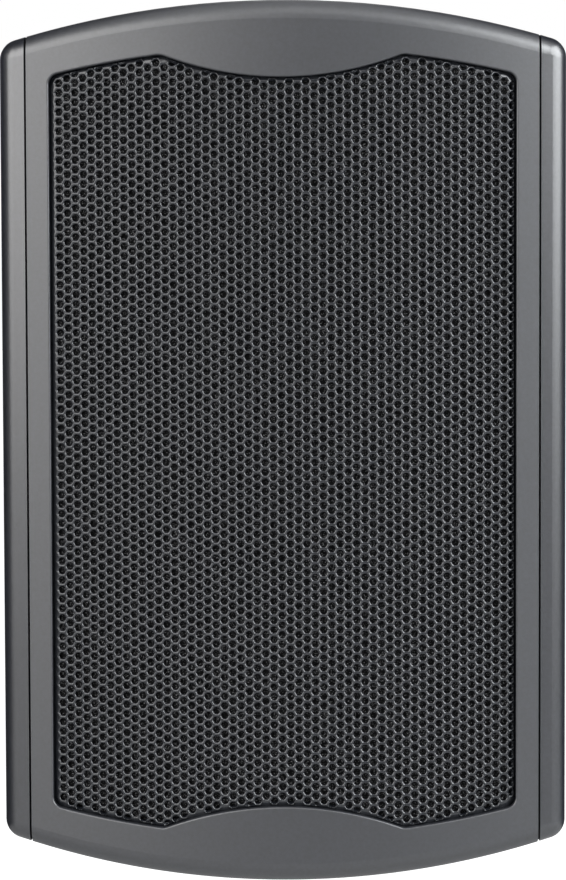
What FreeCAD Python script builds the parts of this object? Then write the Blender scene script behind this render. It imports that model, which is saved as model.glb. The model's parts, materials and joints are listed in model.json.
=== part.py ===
"""Two-way wall speaker with a bowed, perforated front between two side cheeks.

The front faces -Y and +Z is up. Depths are counted backwards from the crown of the bowed front.
The origin is on the back, in the middle of the four bracket inserts. Sizes are millimetres.
"""
import FreeCAD
import Part
import math
import os

V = FreeCAD.Vector

# Overall form
width = 207.1
height = 321.4
depth = 176.0
end_arc_radius = 363.0
corner_radius = 7.5
bow_radius = 395.0
front_edge_radius = 7.0
front_edge_spare = 0.3
collar_depth = 46.0
rear_width = 134.0
rear_height = 258.0
rear_corner_radius = 14.0
rear_edge_radius = 8.0
wall = 3.5
mount_rise = 20.0

# Clearances
fit = 0.1
soft_gap = 0.3
seam = 0.75

# Bezel round the grille
cheek_width = 9.4
bezel_depth = 20.0
bezel_wall = 3.0
bezel_edge_radius = 0.6
bezel_side_band = 8.4
bezel_crown_band = 17.2
bezel_waist_band = 28.0
opening_crown_radius = 379.0
opening_waist_radius = 120.5
opening_corner_radius = 4.0
opening_cusp_radius = 6.0
peg_radius = 2.5
peg_grip = 9.0
peg_rows = 65.0
peg_end_inset = 14.0
rail_inset = 1.0
grommet_wall = 1.6
grommet_lip = 0.5
grommet_lip_thickness = 0.5

# Grille and the foam behind it
grille_recess = 1.4
grille_sheet = 1.0
grille_flange = 1.6
grille_gap = 0.4
grille_roll = 1.4
perforation_pitch = 3.49
perforation_open = 0.74
perforation_group = 6
foam_thickness = 4.0

# Baffle and the joint between the two housing halves
baffle_thickness = 5.0
gasket_thickness = 0.8
gasket_width = 2.2
screw_middle_row = 40.0
screw_end_inset = 24.7
sleeve_radius = 5.0
housing_screw_grip = 18.0

# Screws
screw_radius = 1.75
screw_head_radius = 3.5
screw_head_height = 2.2
small_screw_radius = 1.4
small_head_radius = 2.7
small_head_height = 1.6
driver_screw_length = 10.0
screw_hole_spare = 1.0
screw_crown_share = 0.55
screw_cross_width = 0.9
screw_cross_depth_share = 0.6
screw_sink = 1.1
small_screw_sink = 1.0

# Drivers and the spaces round them
driver_end_inset = 29.2
driver_gap = 3.0
seat_wall = 2.5

# Woofer, with depths counted from the baffle's front
woofer_side_gap = 2.5
woofer_seat_depth = 4.2
woofer_seat_length = 13.0
woofer_flange = 10.0
woofer_screw_inset = 4.0
driver_gasket = 1.0
basket_sheet = 1.2
basket_clearance = 1.0
basket_taper = 14.5
spider_step = 8.0
spider_depth = 26.0
basket_floor_depth = 34.0
basket_floor_taper = 4.0
basket_windows = 6
window_angle = 38.0
surround_roll = 5.0
surround_inset = 8.5
surround_sheet = 0.8
surround_lip = 4.5
front_ring_clearance = 1.0
cone_sheet = 0.9
cone_bend_radius_share = 0.45
cone_bend_depth_share = 0.70
cone_back_share = 0.5
coil_radius = 16.0
former_wall = 0.3
winding_wall = 0.5
winding_length = 9.0
magnet_gap = 0.5
top_plate_radius = 45.0
top_plate_thickness = 5.0
magnet_radius = 50.0
magnet_bore_radius = 24.0
magnet_thickness = 15.0
back_plate_radius = 47.0
back_plate_thickness = 5.0
cap_radius = 24.0
cap_height = 7.0
cap_sheet = 0.6
spider_waves = 4
spider_wave_height = 1.1
spider_sheet = 0.5

# Tweeter, with depths counted from the baffle's front
tweeter_radius = 46.5
tweeter_seat_depth = 3.5
tweeter_seat_length = 12.0
tweeter_flange = 10.5
tweeter_screw_inset = 5.0
plate_thickness = 2.4
horn_inset = 6.0
throat_depth = 6.0
horn_bend_radius_share = 0.45
horn_bend_depth_share = 0.30
dome_clamp = 3.6
dome_radius = 12.7
dome_height = 4.6
dome_sheet = 0.4
tweeter_coil_length = 5.0
tweeter_coil_wall = 0.4
tweeter_magnet_inset = 4.0
tweeter_magnet_thickness = 8.0
tweeter_plate_thickness = 3.0
tweeter_yoke_inset = 1.0

# Ports beside the tweeter
port_gap = 0.75
port_rise = 15.0
port_wall = 2.0
port_flange = 3.5
port_flange_thickness = 2.0
port_length = 70.0
port_mouth_radius = 2.5

# Bracket inserts on the back, a 70 by 127 pattern for M6 screws
insert_spacing_x = 70.0
insert_spacing_z = 127.0
insert_bore_radius = 2.5
insert_radius = 4.0
insert_length = 12.0
insert_boss_radius = 8.0
insert_boss_floor = 3.0

# Terminal cup on the back
terminal_end_inset = 34.0
terminal_width = 72.0
terminal_height = 48.0
terminal_flange = 2.5
terminal_corner = 4.0
cup_margin = 6.0
cup_wall = 2.0
cup_depth = 26.0
block_width = 44.0
block_height = 27.0
block_rise = 11.0
lever_width = 11.8
lever_pitch = 19.0
lever_thickness = 3.0
lever_top = 9.6
lever_length = 15.6
lever_tab = 4.5
lever_barrel_radius = 2.6
trunnion_radius = 1.25
trunnion_length = 2.0
trunnion_clearance = 0.05
wire_gap = 3.3
lever_side_gap = 0.3
contact_thickness = 0.5
contact_width = 8.0
contact_tail = 10.0

# Crossover board on the inside of the back
board_width = 50.0
board_height = 92.0
board_thickness = 1.6
board_post_height = 8.0
board_post_radius = 3.5
board_hole_inset = 4.0
board_margin = 1.0
bobbin_bore_radius = 5.0
bobbin_wall = 1.5
winding_height = 13.0
large_winding_radius = 16.0
small_winding_radius = 11.0
coil_offset = 24.0
capacitor_radius = 6.0
capacitor_length = 26.0
capacitor_edge_radius = 1.0
resistor_side = 8.0
resistor_length = 30.0

# Damping pads on the tapered sides
pad_thickness = 12.0
pad_front = 30.0
pad_rear = 16.0
pad_end_inset = 24.0
pad_top = 62.0

# Places that follow from the sizes above
reach = 2 * height
edge_rounding = min(front_edge_radius, corner_radius - front_edge_spare)
half_bezel = width / 2 - cheek_width - seam
half_opening = half_bezel - bezel_side_band
opening_crown = height / 2 - bezel_crown_band
opening_waist = height / 2 - bezel_waist_band
baffle_front = bezel_depth + seam
baffle_back = baffle_front + baffle_thickness
back_inside = depth - wall
bow_axis = bow_radius - depth
rail_x = half_bezel - bezel_wall - rail_inset
signs = (-1, 1)

# The woofer fills the opening's width, or the height that the tweeter leaves if that is less
woofer_room = height - 2 * driver_end_inset - driver_gap - 2 * tweeter_radius
woofer_radius = min(half_opening - woofer_side_gap, woofer_room / 2)
woofer_centre = driver_end_inset + woofer_radius - height / 2
woofer_cutout_radius = woofer_radius - woofer_flange
woofer_screw_circle = woofer_radius - woofer_screw_inset
surround_middle = woofer_cutout_radius - surround_inset
basket_neck_radius = woofer_cutout_radius - basket_taper
spider_step_radius = basket_neck_radius - spider_step
basket_floor_radius = spider_step_radius - basket_floor_taper
tweeter_centre = height / 2 - driver_end_inset - tweeter_radius
tweeter_cutout_radius = tweeter_radius - tweeter_flange
tweeter_screw_circle = tweeter_radius - tweeter_screw_inset
tweeter_magnet_radius = tweeter_cutout_radius - tweeter_magnet_inset
horn_radius = tweeter_cutout_radius - horn_inset

# The ports sit between the tweeter and the sides of the opening
port_x = (half_opening + tweeter_radius) / 2
port_z = tweeter_centre + port_rise
port_radius = (half_opening - tweeter_radius) / 2 - port_gap - port_flange - port_wall
terminal_centre = terminal_end_inset - rear_height / 2
pad_bottom = pad_end_inset - rear_height / 2


def y_at(d):
    """Y of a depth behind the crown of the front."""
    return d - depth


# Shared shapes

def box(x0, x1, d0, d1, z0, z1):
    return Part.makeBox(x1 - x0, d1 - d0, z1 - z0, V(x0, y_at(d0), z0))


def disc(radius, d0, d1, x, z):
    return Part.makeCylinder(radius, d1 - d0, V(x, y_at(d0), z), V(0, 1, 0))


def ring(outer, inner, d0, d1, x, z):
    return disc(outer, d0, d1, x, z).cut(disc(inner, d0, d1, x, z))


def fuse_all(shape, others):
    for other in others:
        shape = shape.fuse(other)
    return shape


def cut_all(shape, others):
    for other in others:
        shape = shape.cut(other)
    return shape


def turned(x, z, start, *steps):
    """A solid of revolution about the front-to-back line through x, z, from (radius, depth) points.
    A step is the next point, or a pair of points for an arc through the first to the second."""
    def place(point):
        return V(x + point[0], y_at(point[1]), z)

    def line_to(end):
        return Part.LineSegment(place(here), place(end)).toShape()

    edges = []
    here = start
    for step in steps:
        if isinstance(step[0], tuple):
            middle, end = step
            edges.append(Part.Arc(place(here), place(middle), place(end)).toShape())
        else:
            end = step
            edges.append(line_to(end))
        here = end
    if here != start:
        edges.append(line_to(start))
    face = Part.Face(Part.Wire(edges))
    return face.revolve(V(x, 0, z), V(0, 1, 0), 360)


def dome(z, rim_radius, rim_depth, rise, sheet):
    """A spherical shell that bulges forward from its rim."""
    outer = (rim_radius ** 2 + rise ** 2) / (2 * rise)
    inner = outer - sheet
    middle = rim_depth - rise + outer
    half_angle = math.asin(rim_radius / outer)

    def on(radius, angle):
        return radius * math.sin(angle), middle - radius * math.cos(angle)

    return turned(0, z, on(outer, 0), (on(outer, half_angle / 2), on(outer, half_angle)),
                  on(inner, half_angle), (on(inner, half_angle / 2), on(inner, 0)))


def edges_where(shape, holds):
    return [e for e in shape.Edges if all(holds(p) for p in e.discretize(5))]


def around(x, z, radius, count, first_angle):
    """Points spread evenly on a circle, as (x, z)."""
    angles = [math.radians(first_angle + 360 * i / count) for i in range(count)]
    return [(x + radius * math.cos(a), z + radius * math.sin(a)) for a in angles]


def corners_of(half_x, half_z, middle_z):
    return [(sx * half_x, middle_z + sz * half_z) for sx in signs for sz in signs]


def holes(points, radius, d0, d1):
    return [disc(radius + fit, d0, d1, x, z) for x, z in points]


def screw(x, z, head_back, length, shank, head, head_height):
    """A cross-recess pan-head screw driven from the front, with the underside of its head at head_back."""
    crown = head_back - head_height
    shoulder = head_back - head_height / 2
    tip = head_back + length
    made = turned(x, z, (0, crown), (screw_crown_share * head, crown), (head, shoulder), (head, head_back),
                  (shank, head_back), (shank, tip), (0, tip))
    floor = crown + screw_cross_depth_share * head_height
    long, short = screw_crown_share * head, screw_cross_width / 2
    for half_x, half_z in ((long, short), (short, long)):
        made = made.cut(box(x - half_x, x + half_x, crown, floor, z - half_z, z + half_z))
    return made


def screws(points, head_back, length):
    return [screw(x, z, head_back, length, screw_radius, screw_head_radius, screw_head_height)
            for x, z in points]


def small_screws(points, head_back, length):
    return [screw(x, z, head_back, length, small_screw_radius, small_head_radius, small_head_height)
            for x, z in points]


def outline(half_width, half_height, arc_radius, corner, d):
    """The front view's closed outline at a depth: upright sides and arched ends with rounded corners."""
    arc_z = half_height - arc_radius
    corner_x = half_width - corner
    corner_z = arc_z + math.sqrt((arc_radius - corner) ** 2 - corner_x ** 2)
    share = arc_radius / (arc_radius - corner)
    end_x = corner_x * share
    end_z = arc_z + (corner_z - arc_z) * share
    lean = (math.atan2(corner_z - arc_z, corner_x)) / 2
    mid_x = corner_x + corner * math.cos(lean)
    mid_z = corner_z + corner * math.sin(lean)
    y = y_at(d)

    def line(x0, z0, x1, z1):
        return Part.LineSegment(V(x0, y, z0), V(x1, y, z1)).toShape()

    def arc(x0, z0, xm, zm, x1, z1):
        return Part.Arc(V(x0, y, z0), V(xm, y, zm), V(x1, y, z1)).toShape()

    return Part.Wire([
        arc(-end_x, end_z, 0, half_height, end_x, end_z),
        arc(end_x, end_z, mid_x, mid_z, half_width, corner_z),
        line(half_width, corner_z, half_width, -corner_z),
        arc(half_width, -corner_z, mid_x, -mid_z, end_x, -end_z),
        arc(end_x, -end_z, 0, -half_height, -end_x, -end_z),
        arc(-end_x, -end_z, -mid_x, -mid_z, -half_width, -corner_z),
        line(-half_width, -corner_z, -half_width, corner_z),
        arc(-half_width, corner_z, -mid_x, mid_z, -end_x, end_z),
    ])


def front_outline(inset, d):
    return outline(width / 2 - inset, height / 2 - inset, end_arc_radius - inset, corner_radius - inset, d)


def rear_outline(inset, d):
    return outline(rear_width / 2 - inset, rear_height / 2 - inset, end_arc_radius - inset,
                   rear_corner_radius - inset, d)


def prism(wire_at, inset, d0, d1):
    return Part.Face(wire_at(inset, d0)).extrude(V(0, d1 - d0, 0))


def behind_bow(offset):
    """Everything behind the bowed front, moved back by offset."""
    return Part.makeCylinder(bow_radius - offset, 2 * reach, V(0, bow_axis, -reach), V(0, 0, 1))


def bowed_sheet(front, back):
    return behind_bow(front).cut(behind_bow(back))


def bow_depth(x):
    return bow_radius - math.sqrt(bow_radius ** 2 - x ** 2)


def slab(half_width, d0, d1):
    return box(-half_width, half_width, d0, d1, -reach, reach)


# The opening in the bezel, which the grille and the foam follow

def crown_height(x, inset):
    radius = opening_crown_radius - inset
    return opening_crown - opening_crown_radius + math.sqrt(radius ** 2 - x ** 2)


def waist_height(x, inset):
    radius = opening_waist_radius + inset
    return opening_waist + opening_waist_radius - math.sqrt(radius ** 2 - x ** 2)


def cusp_x(inset):
    """Where the outer arc of the opening's end meets its middle arc."""
    crown_middle = opening_crown - opening_crown_radius
    waist_middle = opening_waist + opening_waist_radius
    outer = opening_crown_radius - inset
    inner = opening_waist_radius + inset
    apart = waist_middle - crown_middle
    z = (outer ** 2 - inner ** 2 - crown_middle ** 2 + waist_middle ** 2) / (2 * apart)
    return math.sqrt(outer ** 2 - (z - crown_middle) ** 2)


def opening_prism(inset):
    """The bezel's opening, taken in by inset, as a long block from front to back."""
    d = -front_edge_radius
    y = y_at(d)
    side = half_opening - inset
    cusp = cusp_x(inset)
    between = (side + cusp) / 2

    def end_arcs(sign):
        def at(x, z):
            return V(x, y, sign * z)

        def crown(x):
            return at(x, crown_height(x, inset))

        return [
            Part.Arc(crown(-side), crown(-between), crown(-cusp)).toShape(),
            Part.Arc(crown(-cusp), at(0, waist_height(0, inset)), crown(cusp)).toShape(),
            Part.Arc(crown(cusp), crown(between), crown(side)).toShape(),
        ]

    corner_z = crown_height(side, inset)
    sides = [Part.LineSegment(V(s * side, y, -corner_z), V(s * side, y, corner_z)).toShape() for s in signs]
    edges = Part.__sortEdges__(end_arcs(1) + end_arcs(-1) + sides)
    block = Part.Face(Part.Wire(edges)).extrude(V(0, collar_depth, 0))

    def upright_at(x):
        return lambda p: abs(abs(p.x) - x) < 1e-4

    def runs_back(e):
        return abs(e.tangentAt(e.FirstParameter).y) > 0.999

    corners = [e for e in edges_where(block, upright_at(side)) if runs_back(e)]
    block = block.makeFillet(opening_corner_radius - inset, corners)
    cusps = [e for e in edges_where(block, upright_at(cusp)) if runs_back(e)]
    return block.makeFillet(opening_cusp_radius - inset, cusps)


def in_opening(x, z, margin):
    ends = crown_height(x, margin)
    if abs(x) < opening_waist_radius:
        ends = min(ends, waist_height(x, margin))
    return abs(x) < half_opening - margin and abs(z) < ends


# Front of the housing

def collar():
    """The straight front part of the whole body, with its bowed and rounded face."""
    block = prism(front_outline, 0, -front_edge_radius, collar_depth - gasket_thickness)
    block = block.common(behind_bow(0))

    def on_bow(p):
        return abs(math.hypot(p.x, p.y - bow_axis) - bow_radius) < 1e-3

    return block.makeFillet(edge_rounding, edges_where(block, on_bow))


def peg_points():
    end_z = height / 2 - peg_end_inset
    return corners_of(rail_x, peg_rows, 0) + [(0, sz * end_z) for sz in signs]


def front_bezel(body):
    frame = body.common(slab(half_bezel, -front_edge_radius, bezel_depth))
    hollow = prism(front_outline, bezel_wall, -front_edge_radius, collar_depth)
    hollow = hollow.common(slab(half_bezel - bezel_wall, -front_edge_radius, collar_depth))
    hollow = hollow.common(behind_bow(bezel_wall))

    def on_end_of_bow(p):
        on_inside = abs(math.hypot(p.x, p.y - bow_axis) - bow_radius + bezel_wall) < 1e-3
        return on_inside and abs(p.z) > opening_crown

    hollow = hollow.makeFillet(edge_rounding - bezel_wall, edges_where(hollow, on_end_of_bow))
    opening = opening_prism(0)
    frame = frame.cut(hollow).cut(opening)

    def on_front_rim(p):
        on_face = abs(math.hypot(p.x, p.y - bow_axis) - bow_radius) < 1e-3
        return on_face and abs(p.x) < half_opening + 1e-3 and abs(p.z) < opening_crown + 1e-3

    frame = frame.makeFillet(bezel_edge_radius, edges_where(frame, on_front_rim))
    pegs = []
    for x, z in peg_points():
        root = bow_depth(x) + bezel_wall / 2
        tip = baffle_front + peg_grip
        pegs.append(turned(x, z, (0, root), (peg_radius, root), (peg_radius, tip - peg_radius / 2),
                           (peg_radius / 2, tip), (0, tip)))
    return fuse_all(frame, pegs)


def grille():
    """Pressed steel panel: a bowed face with a rolled edge, and a narrow flange behind the bezel.
    Its hexagonal windows each stand for a group of the fine holes of the real sheet."""
    edge = opening_prism(grille_gap)
    inner = opening_prism(grille_gap + grille_sheet)
    back = bezel_wall + grille_sheet
    panel = bowed_sheet(grille_recess, grille_recess + grille_sheet).common(edge)
    step = bowed_sheet(grille_recess, back).common(edge).cut(inner)
    flange = bowed_sheet(bezel_wall, back).common(opening_prism(-grille_flange)).cut(inner)
    shell = panel.fuse(step).fuse(flange).removeSplitter()
    face_radius = bow_radius - grille_recess

    def on_face(p):
        return abs(math.hypot(p.x, p.y - bow_axis) - face_radius) < 1e-3

    shell = shell.makeFillet(grille_roll, edges_where(shell, on_face))
    return shell.cut(Part.makeCompound(grille_windows()))


def grille_windows():
    pitch = perforation_group * perforation_pitch
    across = perforation_open * pitch
    corner = across / math.sqrt(3)
    column = pitch * math.sqrt(3) / 2
    margin = grille_gap + grille_sheet + grille_roll
    columns = int(half_opening / column) + 1
    rows = int(opening_crown / pitch) + 1
    windows = []
    for i in range(-columns, columns + 1):
        for j in range(-rows, rows + 1):
            x = i * column
            z = (j + 0.5 * (i % 2)) * pitch
            corners = around(x, z, corner, 6, 0)
            if all(in_opening(cx, cz, margin) for cx, cz in corners):
                points = [V(cx, y_at(0), cz) for cx, cz in corners]
                hexagon = Part.Face(Part.makePolygon(points + points[:1]))
                windows.append(hexagon.extrude(V(0, baffle_front, 0)))
    return windows


def grille_foam():
    front = grille_recess + grille_sheet + soft_gap
    sheet = bowed_sheet(front, front + foam_thickness)
    return sheet.common(opening_prism(grille_gap + grille_sheet + soft_gap))


def grommets():
    bore = peg_radius + fit
    radius = peg_radius + grommet_wall
    edge = radius + grommet_lip
    front = baffle_front - grommet_lip_thickness
    return Part.makeCompound([
        turned(x, z, (bore, front), (edge, front), (edge, baffle_front), (radius, baffle_front),
               (radius, baffle_back), (bore, baffle_back))
        for x, z in peg_points()])


def housing_screw_points():
    rows = (screw_middle_row, height / 2 - screw_end_inset)
    return [point for row in rows for point in corners_of(rail_x, row, 0)]


def front_housing(body):
    """Cheeks, collar and baffle in one moulding, with a seat for each driver and port."""
    rear = collar_depth - gasket_thickness
    shell = body.cut(slab(half_bezel + seam, -front_edge_radius, baffle_front))
    shell = shell.cut(prism(front_outline, wall, baffle_back, collar_depth))
    inside = prism(front_outline, wall / 2, baffle_front, rear)
    woofer_seat = disc(woofer_radius + fit + seat_wall, baffle_front,
                       baffle_front + woofer_seat_length, 0, woofer_centre)
    tweeter_seat = disc(tweeter_radius + fit + seat_wall, baffle_front,
                        baffle_front + tweeter_seat_length, 0, tweeter_centre)
    sleeves = [disc(sleeve_radius, baffle_front, rear, x, z) for x, z in housing_screw_points()]
    added = [s.common(inside) for s in (woofer_seat, tweeter_seat, *sleeves)]
    shell = fuse_all(shell, added)
    cuts = [
        disc(woofer_radius + fit, baffle_front, baffle_front + woofer_seat_depth, 0, woofer_centre),
        disc(woofer_cutout_radius, baffle_front, collar_depth, 0, woofer_centre),
        disc(tweeter_radius + fit, baffle_front, baffle_front + tweeter_seat_depth, 0, tweeter_centre),
        disc(tweeter_cutout_radius, baffle_front, collar_depth, 0, tweeter_centre),
    ]
    for x in (-port_x, port_x):
        outer = port_radius + port_wall + fit
        cuts.append(disc(outer, baffle_front, collar_depth, x, port_z))
        cuts.append(disc(outer + port_flange, baffle_front, baffle_front + port_flange_thickness, x, port_z))
    cuts += holes(housing_screw_points(), screw_radius, baffle_front, collar_depth)
    cuts += holes(housing_screw_points(), screw_head_radius, baffle_front, baffle_front + screw_head_height)
    cuts += holes(peg_points(), peg_radius + grommet_wall, baffle_front, baffle_back + wall)
    cuts += holes(woofer_screw_points(), screw_radius, woofer_floor, woofer_floor + driver_screw_length)
    cuts += holes(tweeter_screw_points(), small_screw_radius, tweeter_floor,
                  tweeter_floor + driver_screw_length)
    return cut_all(shell, cuts)


def housing_screws():
    head = baffle_front + screw_head_height
    return Part.makeCompound(screws(housing_screw_points(), head, collar_depth + housing_screw_grip - head))


def housing_gasket():
    front = collar_depth - gasket_thickness
    outer = prism(front_outline, (wall - gasket_width) / 2, front, collar_depth)
    return outer.cut(prism(front_outline, (wall + gasket_width) / 2, front, collar_depth))


# Back of the housing

def insert_points():
    return corners_of(insert_spacing_x / 2, insert_spacing_z / 2, mount_rise)


def board_points():
    return corners_of(board_width / 2 - board_hole_inset, board_height / 2 - board_hole_inset, mount_rise)


def terminal_block(half_width, half_height, corner, d0, d1):
    """A block with rounded upright corners round the terminal cup's middle."""
    block = box(-half_width, half_width, d0, d1, terminal_centre - half_height, terminal_centre + half_height)
    along = [e for e in block.Edges if abs(e.tangentAt(e.FirstParameter).y) > 0.999]
    return block.makeFillet(corner, along)


def terminal_screw_points():
    half_x = terminal_width / 2 - terminal_corner
    half_z = terminal_height / 2 - terminal_corner
    return corners_of(half_x, half_z, terminal_centre)


def rear_shell():
    outer = Part.makeLoft([front_outline(0, collar_depth), rear_outline(0, depth)], True, True)
    rear_edges = edges_where(outer, lambda p: abs(p.y) < 1e-4)
    outer = outer.makeFillet(rear_edge_radius, rear_edges)
    inner = Part.makeLoft([front_outline(wall, collar_depth), rear_outline(wall, back_inside)], True, True)
    shell = outer.cut(inner)
    tower_back = collar_depth + housing_screw_grip + wall
    added = []
    for x, z in housing_screw_points():
        rib_x = sorted((x, math.copysign(width / 2, x)))
        added.append(disc(sleeve_radius, collar_depth, tower_back, x, z))
        added.append(box(*rib_x, collar_depth, tower_back, z - wall / 2, z + wall / 2))
    boss_front = depth - insert_length - insert_boss_floor
    for x, z in insert_points():
        added.append(disc(insert_boss_radius, boss_front, depth - wall / 2, x, z))
    for x, z in board_points():
        added.append(disc(board_post_radius, board_back, depth - wall / 2, x, z))
    cuts = holes(housing_screw_points(), screw_radius, collar_depth, tower_back - wall / 2)
    cuts += holes(insert_points(), insert_radius, depth - insert_length, depth)
    cuts += holes(board_points(), small_screw_radius, board_back, back_inside)
    half_cup_width = terminal_width / 2 - cup_margin
    half_cup_height = terminal_height / 2 - cup_margin
    seat_depth = terminal_flange + driver_gasket
    pad = terminal_block(terminal_width / 2 + wall, terminal_height / 2 + wall, terminal_corner + wall,
                         back_inside - seat_depth, depth - wall / 2)
    added.append(pad)
    cuts.append(terminal_block(terminal_width / 2 + fit, terminal_height / 2 + fit, terminal_corner + fit,
                               depth - seat_depth, depth + wall))
    cuts.append(terminal_block(half_cup_width + fit, half_cup_height + fit, terminal_corner / 2 + fit,
                               back_inside - seat_depth - wall, depth))
    cuts += holes(terminal_screw_points(), small_screw_radius, back_inside - seat_depth - wall, depth)
    return cut_all(fuse_all(shell, [a.common(outer) for a in added]), cuts)


def inserts():
    front = depth - insert_length
    return Part.makeCompound([ring(insert_radius, insert_bore_radius, front, depth, x, z)
                              for x, z in insert_points()])


# Terminal cup with two push levers

block_face = depth - cup_depth + block_rise
slot_top = terminal_centre + lever_top + lever_side_gap
slot_bottom = terminal_centre + lever_top - lever_length - wire_gap
pivot_z = terminal_centre + lever_top - lever_barrel_radius
pivot_depth = block_face - lever_barrel_radius


def pivot_bar(radius, x, half_length):
    """A round bar on the levers' pivot line."""
    start = V(x - half_length, y_at(pivot_depth), pivot_z)
    return Part.makeCylinder(radius, 2 * half_length, start, V(1, 0, 0))


def terminal_cup():
    floor = depth - cup_depth
    half_cup_width = terminal_width / 2 - cup_margin
    half_cup_height = terminal_height / 2 - cup_margin
    flange = terminal_block(terminal_width / 2, terminal_height / 2, terminal_corner,
                            depth - terminal_flange, depth)
    body = terminal_block(half_cup_width, half_cup_height, terminal_corner / 2, floor - cup_wall, depth)
    hollow = terminal_block(half_cup_width - cup_wall, half_cup_height - cup_wall, terminal_corner / 4,
                            floor, depth)
    block = box(-block_width / 2, block_width / 2, floor - cup_wall / 2, block_face,
                terminal_centre - block_height / 2, terminal_centre + block_height / 2)
    cup = flange.fuse(body).cut(hollow).fuse(block)
    half_slot = lever_width / 2 + lever_side_gap
    bore = trunnion_radius + trunnion_clearance
    for side in signs:
        x = side * lever_pitch / 2
        cup = cup.cut(box(x - half_slot, x + half_slot, floor, depth, slot_bottom, slot_top))
        cup = cup.cut(pivot_bar(bore, x, half_slot + trunnion_length))
        tail = contact_width / 2 + fit
        top = pivot_z + contact_thickness + fit
        cup = cup.cut(box(x - tail, x + tail, floor - cup_wall, floor, pivot_z - fit, top))
    shanks = holes(terminal_screw_points(), small_screw_radius, depth - terminal_flange, depth)
    heads = holes(terminal_screw_points(), small_head_radius, depth - small_head_height, depth)
    return cut_all(cup, shanks + heads)


def terminal_lever(side):
    """A plate with a finger tab, hung on two trunnions at its upper end."""
    x = side * lever_pitch / 2
    half = lever_width / 2
    low = terminal_centre + lever_top - lever_length
    plate = box(x - half, x + half, block_face - lever_thickness, block_face, low, pivot_z)
    tab = box(x - half, x + half, block_face, block_face + lever_tab, low, low + lever_thickness)
    barrel = pivot_bar(lever_barrel_radius, x, half)
    pins = pivot_bar(trunnion_radius, x, half + lever_side_gap + trunnion_length - trunnion_clearance)
    lever = fuse_all(plate, [tab, barrel, pins]).removeSplitter()
    tip = block_face + lever_tab
    tip_edges = edges_where(lever, lambda p: abs(p.y - y_at(tip)) < 1e-4)
    return lever.makeFillet(lever_thickness / 4, tip_edges)


def terminal_contacts():
    floor = depth - cup_depth
    strips = []
    for side in signs:
        x = side * lever_pitch / 2
        x0 = x - contact_width / 2
        x1 = x + contact_width / 2
        foot = box(x0, x1, floor, floor + contact_thickness, slot_bottom + fit, pivot_z + contact_thickness)
        tail = box(x0, x1, floor - cup_wall - contact_tail, floor + contact_thickness, pivot_z,
                   pivot_z + contact_thickness)
        strips.append(foot.fuse(tail).removeSplitter())
    return Part.makeCompound(strips)


def terminal_gasket():
    back = depth - terminal_flange
    front = back - driver_gasket
    outer = terminal_block(terminal_width / 2, terminal_height / 2, terminal_corner, front, back)
    hole = terminal_block(terminal_width / 2 - cup_margin + fit, terminal_height / 2 - cup_margin + fit,
                          terminal_corner / 2 + fit, front, back)
    return cut_all(outer.cut(hole), holes(terminal_screw_points(), small_screw_radius, front, back))


def terminal_screws():
    """Driven from the back, so each is turned round about its own middle."""
    head = depth - small_head_height
    length = terminal_flange + driver_gasket + wall - small_head_height
    made = small_screws(terminal_screw_points(), head, length)
    for one, (x, z) in zip(made, terminal_screw_points()):
        one.rotate(V(x, y_at(head), z), V(0, 0, 1), 180)
    return Part.makeCompound(made)


# Woofer

woofer_floor = baffle_front + woofer_seat_depth
flange_back = woofer_floor - driver_gasket
flange_front = flange_back - basket_sheet
spider_front = baffle_front + spider_depth
basket_floor = baffle_front + basket_floor_depth
former_outer = coil_radius + former_wall
winding_outer = former_outer + winding_wall
top_plate_front = basket_floor + basket_sheet
magnet_front = top_plate_front + top_plate_thickness
back_plate_front = magnet_front + magnet_thickness
lip_front = flange_front - surround_sheet
cone_rim = surround_middle - surround_roll - surround_sheet
cone_neck_depth = spider_front - 3 * spider_wave_height - 2 * spider_sheet
winding_front = top_plate_front + (top_plate_thickness - winding_length) / 2


def woofer_screw_points():
    return around(0, woofer_centre, woofer_screw_circle, 4, 45)


def tweeter_screw_points():
    return around(0, tweeter_centre, tweeter_screw_circle, 4, 45)


def woofer_gasket():
    made = ring(woofer_radius, woofer_cutout_radius, flange_back, woofer_floor, 0, woofer_centre)
    return cut_all(made, holes(woofer_screw_points(), screw_radius, flange_back, woofer_floor))


def woofer_basket():
    """Pressed sheet: mounting flange, sloped wall with windows, spider step and magnet floor."""
    t = basket_sheet
    rim = woofer_cutout_radius - basket_clearance
    made = turned(0, woofer_centre, (woofer_radius, flange_front), (woofer_radius, flange_back),
                  (rim, flange_back), (basket_neck_radius, spider_front + t),
                  (spider_step_radius, spider_front + t), (basket_floor_radius, basket_floor + t),
                  (former_outer + 4 * magnet_gap, basket_floor + t),
                  (former_outer + 4 * magnet_gap, basket_floor),
                  (basket_floor_radius - t, basket_floor), (spider_step_radius - t, spider_front),
                  (basket_neck_radius - t, spider_front), (rim - t, flange_front))
    cuts = []
    for i in range(basket_windows):
        window = turned(0, woofer_centre, (0, flange_back + 4 * t), (woofer_radius, flange_back + 4 * t),
                        (woofer_radius, spider_front - 2 * t), (0, spider_front - 2 * t))
        half_turn = math.radians(window_angle / 2)
        side = 2 * woofer_radius
        points = [V(0, 0, 0), V(side, 0, -side * math.tan(half_turn)), V(side, 0, side * math.tan(half_turn))]
        wedge = Part.Face(Part.makePolygon(points + points[:1])).extrude(V(0, depth, 0))
        wedge.translate(V(0, -depth, woofer_centre))
        wedge.rotate(V(0, 0, woofer_centre), V(0, 1, 0), 360 * i / basket_windows)
        cuts.append(window.common(wedge))
    cuts += holes(woofer_screw_points(), screw_radius, flange_front, flange_back)
    return cut_all(made, cuts)


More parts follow.
